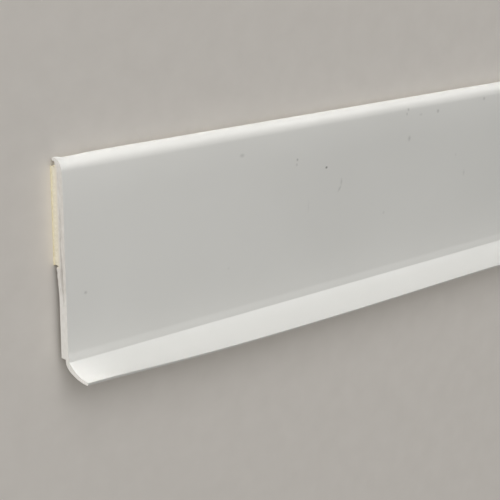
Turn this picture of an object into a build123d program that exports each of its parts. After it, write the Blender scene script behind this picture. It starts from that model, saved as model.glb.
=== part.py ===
"""Self-adhesive trim strip: a flat wall with a rounded top edge and a curved lip along its foot.

The strip lies on its back, with the liner on the floor and the face up. X runs along the strip, Y across it
from the lip (low) to the top edge (high), and Z up from the floor. Sizes are in millimetres.
"""

import os

from build123d import *

# Overall sizes
STRIP_LENGTH = 1000.0  # one stock length
STRIP_WIDTH = 50.0  # from the lip's toe to the top edge
WALL_THICKNESS = 2.5

# Rounded top edge
TOP_OVERHANG = 0.8  # reach of the top edge behind the wall's back
TOP_TIP = 0.8  # thickness of the top edge at its round tip
TOP_FILLET = 0.3  # inside corner between the top edge and the wall's back

# Foot lip
CREASE_HEIGHT = 4.8  # from the toe to the crease where the lip leaves the face
FLARE_HEIGHT = 2.2  # the face leans forward over this height above the crease
FLARE_DEPTH = 0.3  # how far it leans
HEEL_HEIGHT = 5.25  # from the toe to the step where the wall's back ends
LIP_ROOT = 1.0  # lip thickness at the step
HEEL_RADIUS = 2.8  # bend behind the root
HEEL_TURN = 62.0  # degrees through which that bend turns
LIP_REACH = 7.8  # reach of the toe in front of the face
LIP_DISH = 0.5  # hollow of the lip's upper side
TOE_THICKNESS = 0.55
TOE_BEVEL = 0.4  # set-back of the toe's lower edge
TOE_ROUND = 0.1

# Tape on the back
TAPE_WIDTH = 22.0
TAPE_INSET = 2.0  # from the top edge to the tape
FOAM_THICKNESS = 1.6
LINER_THICKNESS = 0.15

# Levels above the floor
foam_level = LINER_THICKNESS
back_level = foam_level + FOAM_THICKNESS
face_level = back_level + WALL_THICKNESS

# Places across the strip
toe_y = -STRIP_WIDTH / 2
top_y = STRIP_WIDTH / 2
crease_y = toe_y + CREASE_HEIGHT
heel_y = toe_y + HEEL_HEIGHT
tape_y = top_y - TAPE_INSET - TAPE_WIDTH / 2

# Points of the section, in (Y, Z)
tip_radius = TOP_TIP / 2
top_radius = WALL_THICKNESS + TOP_OVERHANG - tip_radius
round_start = (top_y - top_radius, face_level)
under_tip = (top_y - TOP_TIP, back_level)
heel = (heel_y, back_level)
lip_start = (heel_y, face_level - LIP_ROOT)
toe_lower = (toe_y, face_level + LIP_REACH - TOE_BEVEL)
toe_upper = (toe_y + TOE_THICKNESS, face_level + LIP_REACH)
crease = (crease_y, face_level + FLARE_DEPTH)
flare_top = (crease_y + FLARE_HEIGHT, face_level)

# Small rounds, kept within the thin edges that they are on
rounds = (
    (under_tip, min(TOP_FILLET, (TOP_OVERHANG - tip_radius) / 2)),
    (toe_lower, min(TOE_ROUND, TOE_THICKNESS / 3)),
    (toe_upper, min(TOE_ROUND, TOE_THICKNESS / 3)),
)

# Extruded strip
with BuildPart() as profile:
    with BuildSketch(Plane.YZ) as section:
        with BuildLine():
            Polyline(crease, flare_top, round_start)
            top_round = JernArc(round_start, tangent=(1, 0), radius=top_radius, arc_size=-90)
            tip = JernArc(top_round @ 1, tangent=top_round % 1, radius=tip_radius, arc_size=-180)
            Polyline(tip @ 1, under_tip, heel, lip_start)
            heel_bend = JernArc(lip_start, tangent=(-1, 0), radius=HEEL_RADIUS, arc_size=-HEEL_TURN)
            TangentArc(heel_bend @ 1, toe_lower, tangent=heel_bend % 1)
            Line(toe_lower, toe_upper)
            SagittaArc(toe_upper, crease, -LIP_DISH)
        make_face()
        for corner, radius in rounds:
            fillet(section.vertices().sort_by_distance(corner)[0], radius)
    extrude(amount=STRIP_LENGTH / 2, both=True)
profile.part.label = "profile"

# Foam tape along the upper half of the back
with BuildPart() as foam_tape:
    with BuildSketch(Plane.XY.offset(foam_level)):
        with Locations((0, tape_y)):
            Rectangle(STRIP_LENGTH, TAPE_WIDTH)
    extrude(amount=FOAM_THICKNESS)
foam_tape.part.label = "foam_tape"

# Paper liner over the tape
with BuildPart() as release_liner:
    with BuildSketch(Plane.XY):
        with Locations((0, tape_y)):
            Rectangle(STRIP_LENGTH, TAPE_WIDTH)
    extrude(amount=LINER_THICKNESS)
release_liner.part.label = "release_liner"

os.makedirs("parts", exist_ok=True)
export_step(profile.part, "parts/profile.step")
export_step(foam_tape.part, "parts/foam_tape.step")
export_step(release_liner.part, "parts/release_liner.step")
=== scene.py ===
import math

import bpy
import numpy as np
from mathutils import Matrix, Vector


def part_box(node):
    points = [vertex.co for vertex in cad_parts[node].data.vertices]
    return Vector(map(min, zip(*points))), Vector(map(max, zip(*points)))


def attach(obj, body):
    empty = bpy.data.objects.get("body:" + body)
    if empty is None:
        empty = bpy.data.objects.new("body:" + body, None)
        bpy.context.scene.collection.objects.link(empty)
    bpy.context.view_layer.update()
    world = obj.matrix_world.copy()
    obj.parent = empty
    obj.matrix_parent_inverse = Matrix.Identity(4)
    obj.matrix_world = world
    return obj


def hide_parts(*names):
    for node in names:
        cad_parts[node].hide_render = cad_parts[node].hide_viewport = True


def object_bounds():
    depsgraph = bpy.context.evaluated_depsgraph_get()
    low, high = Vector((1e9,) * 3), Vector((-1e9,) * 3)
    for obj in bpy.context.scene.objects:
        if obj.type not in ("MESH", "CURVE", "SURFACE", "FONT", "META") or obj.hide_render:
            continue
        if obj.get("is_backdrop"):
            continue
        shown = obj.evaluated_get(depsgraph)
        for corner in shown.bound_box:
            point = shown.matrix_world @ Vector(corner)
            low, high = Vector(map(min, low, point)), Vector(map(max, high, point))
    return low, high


# The strip lies face up, in metres: X along it from the cut end, Y from the lip to the top edge, Z up
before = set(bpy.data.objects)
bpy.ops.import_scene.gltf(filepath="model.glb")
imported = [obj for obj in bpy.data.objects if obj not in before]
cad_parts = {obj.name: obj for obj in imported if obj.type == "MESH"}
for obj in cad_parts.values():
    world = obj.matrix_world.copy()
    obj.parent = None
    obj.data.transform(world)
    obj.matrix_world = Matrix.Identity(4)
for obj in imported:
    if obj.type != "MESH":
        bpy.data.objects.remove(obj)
cad_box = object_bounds()

MM = 0.001

# Section of the strip, as in the CAD model
STRIP_WIDTH = 50.0 * MM
WALL_THICKNESS = 2.5 * MM
TOP_OVERHANG = 0.8 * MM
TOP_TIP = 0.8 * MM
CREASE_HEIGHT = 4.8 * MM
FLARE_HEIGHT = 2.2 * MM
FLARE_DEPTH = 0.3 * MM
HEEL_HEIGHT = 5.25 * MM
LIP_ROOT = 1.0 * MM
HEEL_RADIUS = 2.8 * MM
HEEL_TURN = 62.0  # degrees
LIP_DISH = 0.5 * MM
TOE_THICKNESS = 0.55 * MM
TOE_BEVEL = 0.4 * MM

# Softened corners of the section, as set-backs from the sharp corner
CREASE_SOFT = 0.15 * MM
FILLET_SOFT = 0.2 * MM
HEEL_SOFT = 0.12 * MM
TOE_SOFT = 0.1 * MM

# Hollow of the lip's upper side, which is deeper towards the crease
LIP_SKEW = 0.4

# Face that falls away a little before it turns into the top edge
TOP_EASE = 8 * MM
TOP_FALL = 0.2 * MM

# How finely the curves of the section are divided
FLARE_STEPS = 12
FACE_STEPS = 8
TOP_STEPS = 20
TIP_STEPS = 12
FLAKE_STEPS = 18
BEND_STEPS = 12
UNDER_STEPS = 14
LIP_STEPS = 22
CORNER_STEPS = 4
EDGE_STEPS = 3

# How closely the section is repeated along the strip
FINE_PLACES = (0, 0.15, 0.3, 0.5, 0.7, 0.9, 1.2, 1.5, 1.8, 2.1, 2.4, 3.0, 3.5, 4.2, 5.0)  # millimetres
NEAR_START = 6.5 * MM
NEAR_END = 160 * MM
NEAR_STEP = 2.5 * MM
REST_START = 165 * MM
REST_STEP = 10 * MM

# How the lip curls up at the cut end and waves along the rest
CURL_RISE = 1.35 * MM
CURL_PULL = 0.75 * MM
CURL_LENGTH = 30 * MM
CURL_FALL = 1.6
LIP_BEND = 1.8
WAVE_START = 78 * MM
WAVE_LENGTH = 120 * MM
WAVE_SHARE = 0.2

# Burr that the cut left on the top edge, which dips behind it
BURR_LENGTH = 1.2 * MM
BURR_END = 2.4 * MM
BURR_SWELL = 0.35 * MM
DIP_DEPTH = 0.3 * MM
DIP_LENGTH = 8 * MM

# Flake of the wall's back, bent out below the tape
FLAKE_TOP = 0.1 * MM
FLAKE_HEIGHT = 6.8 * MM
FLAKE_BEND = 0.75 * MM
FLAKE_RUN = 1.5 * MM
FLAKE_RAGGED = 0.15  # how uneven two waves make the bend, as a share of it
FLAKE_SLOW = 31
FLAKE_FAST = 57
ON_BACK = 0.01 * MM  # how near to the back's level a point counts as on it

# Crack in the cut end, from its top down, in mm: below the top edge, behind the face, width and depth
CRACK_CLEAR = 0.05 * MM  # how far its cutter stands out of the cut end
CRACK = (
    (10.5, 1.55, 0.1, 0.2),
    (13.6, 1.3, 0.75, 0.6),
    (15.6, 1.5, 0.35, 0.4),
    (17.6, 1.55, 0.7, 0.6),
    (19.4, 1.5, 0.35, 0.4),
    (21.2, 1.5, 0.6, 0.6),
    (23.9, 1.45, 0.8, 1.0),
    (26.7, 1.4, 0.95, 1.6),
    (29.0, 1.3, 0.8, 1.4),
    (31.0, 1.1, 0.8, 1.2),
    (32.6, 0.95, 0.15, 0.4),
)

# Specks on the face: from the cut end, below the top edge, half width and height in mm, lean, darkness
SPECKS = (
    (5.2, 30.3, 0.62, 0.5, 0, 0.3),
    (47.5, 33.1, 0.54, 0.5, 0, 0.08),
    (52.1, 6.5, 1.0, 0.62, 0, 0.27),
    (70.5, 10.1, 0.41, 0.44, 0, 0.5),
    (70.3, 11.3, 0.41, 0.5, 0, 0.25),
    (80.8, 13.5, 0.54, 0.4, 0, 1.0),
    (102.7, 28.7, 0.54, 0.62, 0, 0.15),
    (111.8, 2.6, 0.6, 0.55, 0, 0.38),
    (111.2, 3.7, 0.47, 0.56, 0, 0.3),
    (112.2, 10.3, 0.75, 1.0, 15, 0.28),
    (116.8, 4.5, 0.88, 0.5, 0, 0.16),
    (123.8, 4.4, 0.68, 0.69, 20, 0.35),
    (131.8, 17.3, 0.54, 0.62, 0, 0.11),
    (135.6, 22.9, 0.6, 1.1, 0, 0.16),
    (143.6, 3.3, 0.74, 0.62, 0, 0.3),
)

# Hair scratches on the face, in the same terms
SCRATCHES = (
    (86.3, 18.0, 0.48, 1.3, 5, 0.24),
    (85.7, 19.6, 0.48, 1.3, 40, 0.25),
    (74.5, 22.5, 0.41, 2.12, 5, 0.07),
)

# Glue from the tape, smeared on the cut end beside it and yellow in the foam above the liner
GLUE_REACH = 0.75 * MM
GLUE_FADE = 0.6 * MM
FOAM_GLUE = 0.3 * MM

# Unevenness of the tape and the liner
TAPE_SIDE_CUT = 0.12 * MM
TAPE_HOLLOW = 0.12 * MM
TAPE_TORN = 0.18 * MM
LINER_WANDER = 0.1 * MM
SIDE_FALL = 9  # power by which the unevenness of a side fades towards the middle
TEAR_SEED = 7

# Grid lines on the tape and the liner
TAPE_FINE = (0, 0.3, 0.8, 2)  # millimetres from the cut end
TAPE_STEP = 5 * MM
TAPE_LINES = 67
TAPE_LEVELS = 8
LINER_STEP = 5 * MM
LINER_LINES = 23

# Stage and camera
FLOOR_HALF = 20.0
GLOSS_PLACE = 65 * MM  # where the lip's lamp is aimed, from the cut end
CORNER_CLEAR = 2.5 * MM  # how far outside the cut end the corner's lamp is aimed
CAMERA_TURN = 43.51  # degrees
CAMERA_PITCH = 15.12  # degrees
CAMERA_PLACE = Vector((-181.25, 62.65, 248.4)) * MM  # from the top corner of the face at the cut end
CAMERA_LENS = 106.48
CAMERA_SENSOR = 36.0

# Sockets of a Mix node that carry colours
MIX_FIRST = 6
MIX_SECOND = 7
MIX_RESULT = 2

# Places that the CAD parts give
profile_low, profile_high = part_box("profile")
foam_low, foam_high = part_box("foam_tape")
liner_low, liner_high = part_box("release_liner")
cut_x = profile_low.x
far_x = profile_high.x
top_y = profile_high.y
toe_z = profile_high.z
back_level = foam_high.z
face_level = back_level + WALL_THICKNESS
toe_y = top_y - STRIP_WIDTH
crease_y = toe_y + CREASE_HEIGHT
heel_y = toe_y + HEEL_HEIGHT
flake_y = foam_low.y - FLAKE_TOP


# Outline helpers, in (Y, Z)
def ease(low, high, value):
    """A smooth step from 0 to 1 between two values."""
    share = np.clip((value - low) / (high - low), 0, 1)
    return share * share * (3 - 2 * share)


def arc(centre, radius, start, end, steps):
    """Points on a circle from one angle to another, in degrees, with both ends."""
    angles = np.radians(np.linspace(start, end, steps + 1))
    return [(centre[0] + radius * math.cos(a), centre[1] + radius * math.sin(a)) for a in angles]


def bow(start, end, rise, steps, skew=0.0):
    """Inner points of a shallow curve between two points, which rises to the left of the way there.

    A skew moves the rise towards the end.
    """
    start, end = np.array(start), np.array(end)
    along = end - start
    left = np.array((-along[1], along[0])) / np.linalg.norm(along)
    shares = np.linspace(0, 1, steps + 1)[1:-1]
    rises = rise * 4 * shares * (1 - shares) * (1 + skew * (shares - 0.5))
    return [tuple(start + along * s + left * r) for s, r in zip(shares, rises)]


def soften(before, corner, after, setback, steps):
    """Points of a rounded corner that starts a set-back before it and ends as far after it."""
    before, corner, after = np.array(before), np.array(corner), np.array(after)
    start = corner + (before - corner) / np.linalg.norm(before - corner) * setback
    end = corner + (after - corner) / np.linalg.norm(after - corner) * setback
    shares = np.linspace(0, 1, steps + 1)
    return [tuple((1 - s) ** 2 * start + 2 * s * (1 - s) * corner + s**2 * end) for s in shares]


def top_curve(round_start, tip_level, top_radius):
    """The end of the face, which falls a little, and the round of the top edge."""
    ease_start = round_start[0] - TOP_EASE
    face_end = [(y, face_level) for y in np.linspace(ease_start, round_start[0], FACE_STEPS + 1)[:-1]]
    top_round = arc((round_start[0], tip_level), top_radius, 90, 0, TOP_STEPS)
    points = []
    for y, z in face_end + top_round:
        height = (z - tip_level) / top_radius
        points.append((y, z - TOP_FALL * height * ((y - ease_start) / TOP_EASE) ** 2))
    return points


def section():
    """The strip's outline, from the crease up the face, round the top, down the back and round the lip."""
    tip_radius = TOP_TIP / 2
    top_radius = WALL_THICKNESS + TOP_OVERHANG - tip_radius
    tip_level = face_level - top_radius
    crease = (crease_y, face_level + FLARE_DEPTH)
    round_start = (top_y - top_radius, face_level)
    under_tip = (top_y - TOP_TIP, back_level)
    heel = (heel_y, back_level)
    lip_start = (heel_y, face_level - LIP_ROOT)
    toe_lower = (toe_y, toe_z - TOE_BEVEL)
    toe_upper = (toe_y + TOE_THICKNESS, toe_z)

    # Lip: its bend at the heel, its underside, which goes on from that bend, and its hollow upper side
    bend = arc((heel_y, lip_start[1] + HEEL_RADIUS), HEEL_RADIUS, -90, -90 - HEEL_TURN, BEND_STEPS)
    chord = np.array(toe_lower) - np.array(bend[-1])
    heading = math.radians(180 - HEEL_TURN)
    turn = math.atan2(chord[1], chord[0]) - heading
    under_rise = -np.linalg.norm(chord) / 2 * math.tan(turn / 2)
    lip_under = bow(bend[-1], toe_lower, under_rise, UNDER_STEPS)
    lip_upper = bow(toe_upper, crease, -LIP_DISH, LIP_STEPS, skew=LIP_SKEW)

    # Flare: a soft swell of the face above the crease
    flare = []
    for s in np.linspace(0, 1, FLARE_STEPS + 1):
        flare.append((crease_y + s * FLARE_HEIGHT, face_level + FLARE_DEPTH * ease(1, 0, s)))

    points = soften(lip_upper[-1], crease, flare[1], CREASE_SOFT, CORNER_STEPS) + flare[1:]
    points += top_curve(round_start, tip_level, top_radius)
    points += arc((top_y - tip_radius, tip_level), tip_radius, 0, -180, TIP_STEPS)[1:]
    points += soften((under_tip[0], tip_level), under_tip, heel, FILLET_SOFT, CORNER_STEPS)
    points.append((foam_low.y, back_level))
    points += [(flake_y - s * FLAKE_HEIGHT, back_level) for s in np.linspace(0, 1, FLAKE_STEPS + 1)]
    points += soften(under_tip, heel, lip_start, HEEL_SOFT, EDGE_STEPS)
    points += soften(heel, lip_start, bend[1], HEEL_SOFT, EDGE_STEPS)[:-1]
    points += bend[1:] + lip_under
    points += soften(lip_under[-1], toe_lower, toe_upper, TOE_SOFT, EDGE_STEPS)
    points += soften(toe_lower, toe_upper, lip_upper[0], TOE_SOFT, EDGE_STEPS)
    points += lip_upper[1:-1]
    return np.array(points)


# Shape of the strip along its length
def bend_lip(y, z, along):
    """The lip as it curls up at the cut end and waves along the rest."""
    curl = math.exp(-((along / CURL_LENGTH) ** CURL_FALL))
    wave = (1 - math.cos(2 * math.pi * max(along - WAVE_START, 0) / WAVE_LENGTH)) / 2
    lift = curl + WAVE_SHARE * wave
    lip_root = face_level + FLARE_DEPTH
    share = np.clip((z - lip_root) / (toe_z - lip_root), 0, 1) ** LIP_BEND
    return y + share * lift * CURL_RISE, z - share * lift * CURL_PULL


def leave_burr(y, z, along):
    """The top edge with the burr at its cut end, and the dip behind it."""
    on_edge = ease(top_y - 3 * TOP_TIP, top_y - TOP_TIP / 2, y)
    dip = DIP_DEPTH * ease(BURR_LENGTH / 2, BURR_END, along) * math.exp(-((along / DIP_LENGTH) ** 2))
    behind = ease(back_level + TOP_OVERHANG, back_level - TOP_OVERHANG, z)
    swell = BURR_SWELL * (1 - ease(BURR_LENGTH, BURR_END, along))
    return y - on_edge * dip, z - on_edge * behind * swell


def bend_flake(y, z, along):
    """The wall's back with the flake that the cut bent out of it."""
    share = 1 - (flake_y - y) / FLAKE_HEIGHT
    on_flake = (np.abs(z - back_level) < ON_BACK) & (share >= 0) & (share <= 1)
    ragged = 1 - FLAKE_RAGGED + FLAKE_RAGGED * np.sin(FLAKE_SLOW * share) * np.cos(FLAKE_FAST * share)
    fade = max(0, 1 - along / FLAKE_RUN) ** 2
    return y, z - np.where(on_flake, FLAKE_BEND * fade * ragged * np.clip(share, 0, 1), 0)


def shaped(outline, along):
    """The outline as it stands at a distance from the cut end."""
    y, z = outline.T
    for change in (bend_lip, leave_burr, bend_flake):
        y, z = change(y, z, along)
    return np.column_stack((y, z))


def stations():
    """Places along the strip, close together at the cut end."""
    length = far_x - cut_x
    fine = np.array(FINE_PLACES) * MM
    near = np.arange(NEAR_START, NEAR_END, NEAR_STEP)
    rest = np.arange(REST_START, length, REST_STEP)
    return cut_x + np.concatenate((fine, near, rest, [length]))


# Mesh helpers
def new_object(name, verts, faces, finishes):
    """A mesh object that is smooth across all but its sharp edges."""
    mesh = bpy.data.meshes.new(name)
    mesh.from_pydata([tuple(v) for v in verts], [], faces)
    mesh.validate()
    for finish in finishes:
        mesh.materials.append(finish)
    smoothed(mesh)
    piece = bpy.data.objects.new(name, mesh)
    bpy.context.scene.collection.objects.link(piece)
    return piece


def smoothed(mesh, angle=30):
    """Smooth shading across all edges flatter than the angle."""
    mesh.polygons.foreach_set("use_smooth", [True] * len(mesh.polygons))
    mesh.set_sharp_from_angle(angle=math.radians(angle))


def swept(name, places, outlines, finishes):
    """A closed bar through the outlines at the given places along X. Its two ends take the last finish."""
    count = len(outlines[0])
    verts = [(x, y, z) for x, outline in zip(places, outlines) for y, z in outline]
    faces = []
    for i in range(len(places) - 1):
        here, there = i * count, (i + 1) * count
        for j in range(count):
            k = (j + 1) % count
            faces.append((here + j, there + j, there + k, here + k))
    faces.append(tuple(range(count)))
    last = (len(places) - 1) * count
    faces.append(tuple(last + j for j in reversed(range(count))))
    piece = new_object(name, verts, faces, finishes)
    for end in piece.data.polygons[-2:]:
        end.material_index = len(finishes) - 1
    return piece


def block(name, xs, ys, zs, shape, finishes):
    """A closed box with grid lines at the given places on all six sides, each point moved by the shape."""
    index = {}
    verts = []
    faces = []
    lines = (xs, ys, zs)
    last = [len(line) - 1 for line in lines]

    def vertex(*place):
        if place not in index:
            index[place] = len(verts)
            verts.append(shape(*(line[i] for line, i in zip(lines, place))))
        return index[place]

    for across in range(3):
        first, second = (across + 1) % 3, (across + 2) % 3
        for side in (0, last[across]):
            for i in range(last[first]):
                for j in range(last[second]):
                    corners = []
                    for step_i, step_j in ((0, 0), (1, 0), (1, 1), (0, 1)):
                        place = [0, 0, 0]
                        place[across], place[first], place[second] = side, i + step_i, j + step_j
                        corners.append(vertex(*place))
                    faces.append(tuple(corners if side else reversed(corners)))
    return new_object(name, verts, faces, finishes)


def wedge(name, rows, finishes):
    """A thin wedge that enters the cut end: each row gives its place (Y, Z), its width and its depth."""
    outside = cut_x - CRACK_CLEAR
    verts = []
    for y, z, width, depth in rows:
        verts += [(outside, y, z - width / 2), (outside, y, z + width / 2), (cut_x + depth, y, z)]
    faces = [(0, 1, 2), tuple(3 * (len(rows) - 1) + i for i in (2, 1, 0))]
    for row in range(len(rows) - 1):
        here, there = 3 * row, 3 * (row + 1)
        for i in range(3):
            k = (i + 1) % 3
            faces.append((here + k, here + i, there + i, there + k))
    piece = new_object(name, verts, faces, finishes)
    for polygon in piece.data.polygons:
        polygon.material_index = len(finishes) - 1
    return piece


def carve(piece, cutter):
    """Take the cutter's shape out of the piece."""
    cut = piece.modifiers.new("cut", "BOOLEAN")
    cut.operation = "DIFFERENCE"
    cut.solver = "EXACT"
    cut.object = cutter
    graph = bpy.context.evaluated_depsgraph_get()
    mesh = bpy.data.meshes.new_from_object(piece.evaluated_get(graph))
    piece.modifiers.clear()
    piece.data = mesh
    smoothed(mesh)
    bpy.data.objects.remove(cutter)


# Node helpers
def material(name):
    """A new node material, with its tree and its shader."""
    made = bpy.data.materials.new(name)
    made.use_nodes = True
    tree = made.node_tree
    return made, tree, tree.nodes["Principled BSDF"]


def node(tree, kind, **values):
    """A new node, with its properties and its inputs set by name."""
    made = tree.nodes.new(kind)
    for name, value in values.items():
        if name.title() in made.inputs:
            made.inputs[name.title()].default_value = value
        else:
            setattr(made, name, value)
    return made


def coordinates(tree, **values):
    """The object's own coordinates, mapped by a scale or the like."""
    place = node(tree, "ShaderNodeTexCoord")
    mapping = node(tree, "ShaderNodeMapping", **values)
    tree.links.new(place.outputs["Object"], mapping.inputs["Vector"])
    return mapping.outputs["Vector"]


def separated(tree):
    """The object's own coordinates, one by one."""
    place = node(tree, "ShaderNodeSeparateXYZ")
    tree.links.new(coordinates(tree), place.inputs["Vector"])
    return place.outputs


def noise(tree, scale, detail=3.0, stretch=(1, 1, 1)):
    """A noise pattern with about so many features to a metre."""
    made = node(tree, "ShaderNodeTexNoise", scale=scale, detail=detail)
    tree.links.new(coordinates(tree, scale=stretch), made.inputs["Vector"])
    return made.outputs["Fac"]


def spread(tree, value, low=0.0, high=1.0, from_low=0.3, from_high=0.7):
    """A pattern's values, mapped from a noise pattern's range, or from a given one, on to another."""
    made = node(tree, "ShaderNodeMapRange")
    made.inputs["From Min"].default_value = from_low
    made.inputs["From Max"].default_value = from_high
    made.inputs["To Min"].default_value = low
    made.inputs["To Max"].default_value = high
    tree.links.new(value, made.inputs["Value"])
    return made.outputs["Result"]


def rising(tree, value, start, end):
    """A pattern that goes from 0 to 1 between two places."""
    return spread(tree, value, low=0, high=1, from_low=start, from_high=end)


def falling(tree, value, start, end):
    """A pattern that goes from 1 to 0 between two places."""
    return spread(tree, value, low=1, high=0, from_low=start, from_high=end)


def mixed(tree, share, first, second):
    """A colour between two, by a pattern. Each colour is an RGB value or another node's output."""
    made = node(tree, "ShaderNodeMix", data_type="RGBA")
    tree.links.new(share, made.inputs["Factor"])
    for socket, colour in ((made.inputs[MIX_FIRST], first), (made.inputs[MIX_SECOND], second)):
        if isinstance(colour, tuple):
            socket.default_value = (*colour, 1)
        else:
            tree.links.new(colour, socket)
    return made.outputs[MIX_RESULT]


def combined(tree, operation, patterns):
    """Several patterns as one, by a math operation such as MAXIMUM."""
    total = patterns[0]
    for pattern in patterns[1:]:
        made = node(tree, "ShaderNodeMath", operation=operation)
        tree.links.new(total, made.inputs[0])
        tree.links.new(pattern, made.inputs[1])
        total = made.outputs["Value"]
    return total


def bumped(tree, shader, heights, distance):
    """Bump from a pattern, as deep as the distance."""
    made = node(tree, "ShaderNodeBump", strength=1.0, distance=distance)
    tree.links.new(heights, made.inputs["Height"])
    tree.links.new(made.outputs["Normal"], shader.inputs["Normal"])


def spot(tree, along, below, half_width, half_height, lean, dark):
    """How much of a small oval mark on the face covers a point, fading out to its edge."""
    place = coordinates(
        tree,
        vector_type="TEXTURE",
        location=(cut_x + along * MM, top_y - below * MM, face_level),
        rotation=(0, 0, math.radians(-lean)),
        scale=(half_width * MM, half_height * MM, MM),
    )
    distance = node(tree, "ShaderNodeVectorMath", operation="LENGTH")
    tree.links.new(place, distance.inputs[0])
    return spread(tree, distance.outputs["Value"], low=dark, high=0, from_low=0, from_high=1)


# Materials
def plastic():
    """Satin white extruded plastic, with fine draw lines along the strip and a few specks on its face."""
    made, tree, shader = material("white_plastic")
    mottle = spread(tree, noise(tree, scale=30))
    clean = mixed(tree, mottle, (0.768, 0.766, 0.738), (0.798, 0.796, 0.768))
    blemishes = combined(tree, "MAXIMUM", [spot(tree, *row) for row in SPECKS + SCRATCHES])
    specked = mixed(tree, blemishes, clean, (0.1, 0.1, 0.095))
    tree.links.new(specked, shader.inputs["Base Color"])
    lines = noise(tree, scale=900, stretch=(0.01, 1, 1))
    tree.links.new(spread(tree, lines, low=0.28, high=0.38), shader.inputs["Roughness"])
    bumped(tree, shader, lines, distance=0.004 * MM)
    shader.inputs["IOR"].default_value = 1.53
    return made


def cut_plastic():
    """The same plastic where it was cut: rougher, with the knife's marks, a darker blotched band and the
    tape's glue.
    """
    made, tree, shader = material("cut_plastic")
    place = separated(tree)
    across, level = place["Y"], place["Z"]
    below_top = falling(tree, across, foam_high.y - TOP_TIP, foam_high.y + TOP_TIP)
    above_flake = rising(tree, across, flake_y - FLAKE_HEIGHT, flake_y - FLAKE_HEIGHT / 2)
    above_foot = rising(tree, across, foam_low.y - GLUE_FADE, foam_low.y)
    glue_end = back_level + GLUE_REACH
    by_tape = falling(tree, level, glue_end - GLUE_FADE, glue_end)

    strokes = noise(tree, scale=2500, stretch=(1, 0.25, 1))
    clean = mixed(tree, spread(tree, strokes), (0.74, 0.72, 0.68), (0.82, 0.805, 0.77))
    # A darker, blotched band on the cut end, from just below the tape's top down to the flake
    end_blotches = spread(tree, noise(tree, scale=1400, stretch=(1, 0.4, 1)), low=0.1, high=0.9)
    darker_band = combined(tree, "MINIMUM", (end_blotches, below_top, above_flake))
    banded = mixed(tree, darker_band, clean, (0.63, 0.6, 0.56))
    glue = combined(tree, "MINIMUM", (by_tape, below_top, above_foot))
    glued = mixed(tree, glue, banded, (0.8, 0.745, 0.63))
    tree.links.new(glued, shader.inputs["Base Color"])
    tree.links.new(spread(tree, strokes, low=0.5, high=0.65), shader.inputs["Roughness"])
    bumped(tree, shader, strokes, distance=0.05 * MM)
    return made


def foam():
    """Cream foam that turns yellower towards the film of glue on the liner's side."""
    made, tree, shader = material("cream_foam")
    cells = node(tree, "ShaderNodeTexVoronoi", scale=2800.0)
    tree.links.new(coordinates(tree), cells.inputs["Vector"])
    glue_top = foam_low.z + FOAM_GLUE
    glue = falling(tree, separated(tree)["Z"], glue_top, glue_top + GLUE_FADE)
    core = mixed(tree, glue, (0.86, 0.81, 0.68), (0.83, 0.775, 0.59))
    # Darker away from the cells' centres: painted shade of the foam's pits
    painted_pit_shade = spread(tree, cells.outputs["Distance"], low=0, high=0.3, from_low=0.2, from_high=0.9)
    pit_shaded = mixed(tree, painted_pit_shade, core, (0.62, 0.56, 0.43))
    tree.links.new(pit_shaded, shader.inputs["Base Color"])
    bumped(tree, shader, cells.outputs["Distance"], distance=0.06 * MM)
    shader.inputs["Roughness"].default_value = 0.85
    return made


def paper():
    """Yellowish liner paper with a silicone sheen."""
    made, tree, shader = material("liner_paper")
    fibres = noise(tree, scale=700, detail=6, stretch=(0.3, 1, 1))
    colour = mixed(tree, spread(tree, fibres), (0.78, 0.71, 0.52), (0.72, 0.645, 0.45))
    tree.links.new(colour, shader.inputs["Base Color"])
    tree.links.new(spread(tree, fibres, low=0.38, high=0.5), shader.inputs["Roughness"])
    bumped(tree, shader, fibres, distance=0.02 * MM)
    return made


def floor_paint():
    """Plain pale floor with a faint grain."""
    made, tree, shader = material("pale_floor")
    grain = spread(tree, noise(tree, scale=160, detail=6))
    colour = mixed(tree, grain, (0.895, 0.855, 0.807), (0.925, 0.885, 0.837))
    tree.links.new(colour, shader.inputs["Base Color"])
    shader.inputs["Roughness"].default_value = 0.9
    shader.inputs["Specular IOR Level"].default_value = 0.0
    return made


# Pieces
def fit(piece, node_name):
    """Let a piece stand for a CAD node: hang it on the root and hide the CAD part."""
    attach(piece, "root")
    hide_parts(node_name)
    return piece


def make_profile():
    """The extruded strip, with the damage at its cut end."""
    outline = section()
    places = stations()
    outlines = [shaped(outline, x - cut_x) for x in places]
    finishes = [plastic(), cut_plastic()]
    piece = swept("trim_profile", places, outlines, finishes)
    rows = []
    for below, behind, width, depth in CRACK:
        rows.append((top_y - below * MM, face_level - behind * MM, width * MM, depth * MM))
    carve(piece, wedge("crack", rows, finishes))
    return fit(piece, "profile")


def wandering(x, slow, fast, swing, shift=0.0):
    """An uneven wave along X, between 0 and 1."""
    return 0.5 + 0.5 * math.sin(slow * x + swing * math.sin(fast * x) + shift)


def make_tape():
    """Foam with uneven sides, hollowed between its two glued faces, and with a torn cut end."""
    random = np.random.default_rng(TEAR_SEED)
    middle = (foam_low + foam_high) / 2
    half = (foam_high - foam_low) / 2

    def shape(x, y, z):
        across, up = (y - middle.y) / half.y, (z - middle.z) / half.z
        side_cut = TAPE_SIDE_CUT * wandering(x, slow=47, fast=131, swing=1.7)
        y -= across**SIDE_FALL * (side_cut + TAPE_HOLLOW * (1 - up * up))
        if x == foam_low.x and abs(up) < 1:
            x += TAPE_TORN * random.random()
        return x, y, z

    length = foam_high.x - foam_low.x
    plain = np.linspace(0, length, round(length / TAPE_STEP) + 1)[1:]
    xs = foam_low.x + np.concatenate((np.array(TAPE_FINE) * MM, plain))
    ys = np.linspace(foam_low.y, foam_high.y, TAPE_LINES)
    zs = np.linspace(foam_low.z, foam_high.z, TAPE_LEVELS)
    piece = block("tape", xs, ys, zs, shape, [foam()])
    return fit(piece, "foam_tape")


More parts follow.
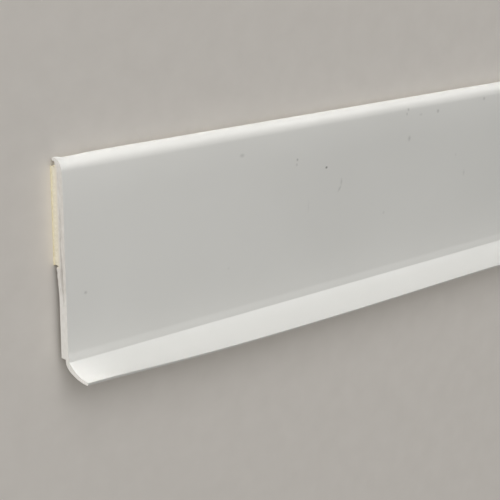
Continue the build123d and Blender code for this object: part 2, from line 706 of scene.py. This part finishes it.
def make_liner():
    """Thin paper with slightly wandering edges."""
    middle = (liner_low + liner_high) / 2
    half = (liner_high - liner_low) / 2

    def shape(x, y, z):
        across = (y - middle.y) / half.y
        edge = LINER_WANDER * wandering(x, slow=29, fast=83, swing=2.3, shift=across)
        return x, y - across**SIDE_FALL * edge, z

    length = liner_high.x - liner_low.x
    xs = np.linspace(liner_low.x, liner_high.x, round(length / LINER_STEP) + 1)
    ys = np.linspace(liner_low.y, liner_high.y, LINER_LINES)
    zs = (liner_low.z, liner_high.z)
    piece = block("liner", xs, ys, zs, shape, [paper()])
    return fit(piece, "release_liner")


# Stage
def make_floor():
    """A wide plain floor at the level that the strip lies on."""
    half = FLOOR_HALF
    corners = [(-half, -half, 0), (half, -half, 0), (half, half, 0), (-half, half, 0)]
    floor = new_object("floor", corners, [(0, 1, 2, 3)], [floor_paint()])
    floor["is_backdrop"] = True


def make_lamp(name, aim, way, distance, size, watts, cone=180, lit=None, mirrored=True):
    """A lamp that faces a place from a distance. Its size is its length and its height.

    Its cone is in degrees. It lights all, or the lit collection alone, and shows in reflections or not.
    """
    lamp = bpy.data.lights.new(name, "AREA")
    lamp.shape = "RECTANGLE"
    lamp.size, lamp.size_y = size
    lamp.spread = math.radians(cone)
    lamp.energy = watts
    holder = bpy.data.objects.new(name, lamp)
    holder.visible_camera = False
    holder.visible_glossy = mirrored
    holder.light_linking.receiver_collection = lit
    bpy.context.scene.collection.objects.link(holder)
    outward = Vector(way).normalized()
    holder.location = Vector(aim) + outward * distance
    holder.rotation_mode = "QUATERNION"
    holder.rotation_quaternion = outward.to_track_quat("Z", "Y")


def make_lamps(pieces):
    """A soft key over the whole floor, and five small lamps that light the strip alone."""
    strip = bpy.data.collections.new("strip")
    for piece in pieces:
        strip.objects.link(piece)
    make_lamp(
        "key", aim=(0, 0, face_level), way=(-0.4, 0.58, 0.71), distance=3.5, size=(2.6, 2.6), watts=36
    )

    # Two on the cut end
    cut_end = {"aim": (cut_x, 0, face_level), "lit": strip, "mirrored": False}
    make_lamp("side", way=(-0.9, 0.38, 0.2), distance=0.6, size=(0.26, 0.26), watts=0.75, **cut_end)
    make_lamp("left", way=(-0.9, 0.1, 0.4), distance=0.5, size=(0.2, 0.2), watts=0.5, **cut_end)

    # One along the top edge, low behind it
    make_lamp(
        "edge",
        aim=(0, top_y, 0),
        way=(0, 0.06, 0.008),
        distance=0.06,
        size=(1.4, 0.015),
        watts=0.05,
        cone=40,
        lit=strip,
        mirrored=False,
    )

    # One for the gloss on the lip
    make_lamp(
        "gloss",
        aim=(cut_x + GLOSS_PLACE, toe_y, face_level),
        way=(0.67, 0.67, 0.3),
        distance=1.0,
        size=(0.3, 0.2),
        watts=0.8,
        lit=strip,
    )

    # One on the curled corner of the lip
    make_lamp(
        "corner",
        aim=(cut_x - CORNER_CLEAR, toe_y + CURL_RISE, toe_z - CURL_PULL),
        way=(-0.3, 0.9, 0.3),
        distance=0.2,
        size=(0.01, 0.01),
        watts=0.00025,
        cone=6,
        lit=strip,
    )


def make_world(colour, level):
    """An even sky of one colour."""
    world = bpy.data.worlds.new("studio")
    world.use_nodes = True
    sky = world.node_tree.nodes["Background"]
    sky.inputs["Color"].default_value = (*colour, 1)
    sky.inputs["Strength"].default_value = level
    bpy.context.scene.world = world


def make_camera():
    """The photograph's camera, set against the cut end of the strip."""
    turn = math.radians(CAMERA_TURN)
    pitch = math.radians(CAMERA_PITCH)
    right = Vector((math.cos(turn), 0, math.sin(turn)))
    back = Vector((-math.sin(turn) * math.cos(pitch), math.sin(pitch), math.cos(turn) * math.cos(pitch)))
    up = back.cross(right)
    camera = bpy.data.objects.new("camera", bpy.data.cameras.new("camera"))
    camera.data.lens = CAMERA_LENS
    camera.data.sensor_width = CAMERA_SENSOR
    matrix = Matrix((right, up, back)).transposed().to_4x4()
    matrix.translation = Vector((cut_x, top_y, face_level)) + CAMERA_PLACE
    camera.matrix_world = matrix
    bpy.context.scene.collection.objects.link(camera)
    bpy.context.scene.camera = camera


pieces = [make_profile(), make_tape(), make_liner()]
make_floor()
make_lamps(pieces)
make_world(colour=(1, 0.98, 0.94), level=0.28)
make_camera()
bpy.context.scene.view_settings.view_transform = "Standard"

boxes = {"cad": cad_box, "visual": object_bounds()}
{name: [list(low), list(high)] for name, (low, high) in boxes.items()}
